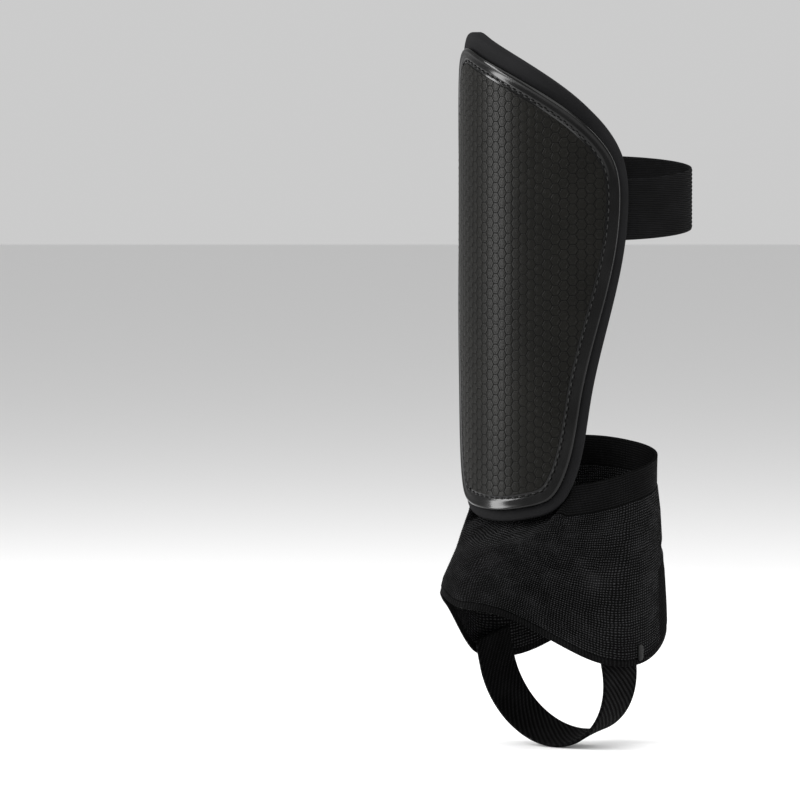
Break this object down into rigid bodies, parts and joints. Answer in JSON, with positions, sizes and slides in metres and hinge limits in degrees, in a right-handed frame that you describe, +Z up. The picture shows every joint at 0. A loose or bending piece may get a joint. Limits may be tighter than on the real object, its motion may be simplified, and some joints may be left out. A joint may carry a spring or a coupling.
{
  "type": "shin guard",
  "caption": "Curved hard plate on a foam pad for the shin, with an elastic calf strap, a knitted ankle sleeve and an under-foot stirrup.",
  "frame": {"origin": "on the leg's centre line, level with the lower end of the pad", "axes": "+Z up the leg, -Y is the way the guard's face looks (forward), +X is the wearer's side towards which the top edge slopes down"},
  "size_m": [0.1077, 0.1435, 0.3564],
  "materials": {
    "plate_plastic": "gloss moulded polypropylene",
    "facing_print": "satin film with pressed hexagons",
    "foam": "matte closed-cell EVA foam",
    "lining": "brushed knit",
    "thread": "twisted polyester thread",
    "strap_elastic": "ribbed woven elastic",
    "loop_pile": "brushed loop pile",
    "hook_tape": "moulded hooks",
    "sleeve_welt": "doubled fine knit",
    "sleeve_knit": "ribbed elastic knit",
    "heel_fabric": "smooth knit",
    "hem_tape": "folded hem",
    "stirrup_elastic": "twill woven elastic"
  },
  "bodies": {
    "guard": {"shell_plate": "plate_plastic", "hex_facing": "facing_print", "foam_pad": "foam", "inner_lining": "lining", "plate_stitching": "thread", "strap_anchor": "strap_elastic", "anchor_stitching": "thread", "loop_patch": "loop_pile", "sleeve_stitching": "thread", "sleeve_top_welt": "sleeve_welt", "sleeve_leg_tube": "sleeve_knit", "ankle_flex_band": "sleeve_knit"},
    "strap": {"calf_strap": "strap_elastic", "hook_patch": "hook_tape"},
    "cuff": {"foot_cuff": "sleeve_knit", "heel_gusset": "heel_fabric", "cuff_hem": "hem_tape", "bartack_left": "thread", "bartack_right": "thread"},
    "stirrup": {"stirrup_strap": "stirrup_elastic"}
  },
  "joints": [
    {"name": "strap_open", "type": "hinge", "parent": "guard", "child": "strap", "pos_m": [0.0477, -0.027, 0.1545], "axis": [0, 0, -1], "range_deg": [0, 80]},
    {"name": "ankle_bend", "type": "hinge", "parent": "guard", "child": "cuff", "pos_m": [0, -0.008, -0.008], "axis": [1, 0, 0], "range_deg": [-15, 25], "stiffness_Nm_per_rad": 0.15, "deforming": ["ankle_flex_band"]},
    {"name": "stirrup_swing", "type": "hinge", "parent": "cuff", "child": "stirrup", "pos_m": [0, -0.0245, -0.066], "axis": [1, 0, 0], "range_deg": [-50, 30]}
  ]
}
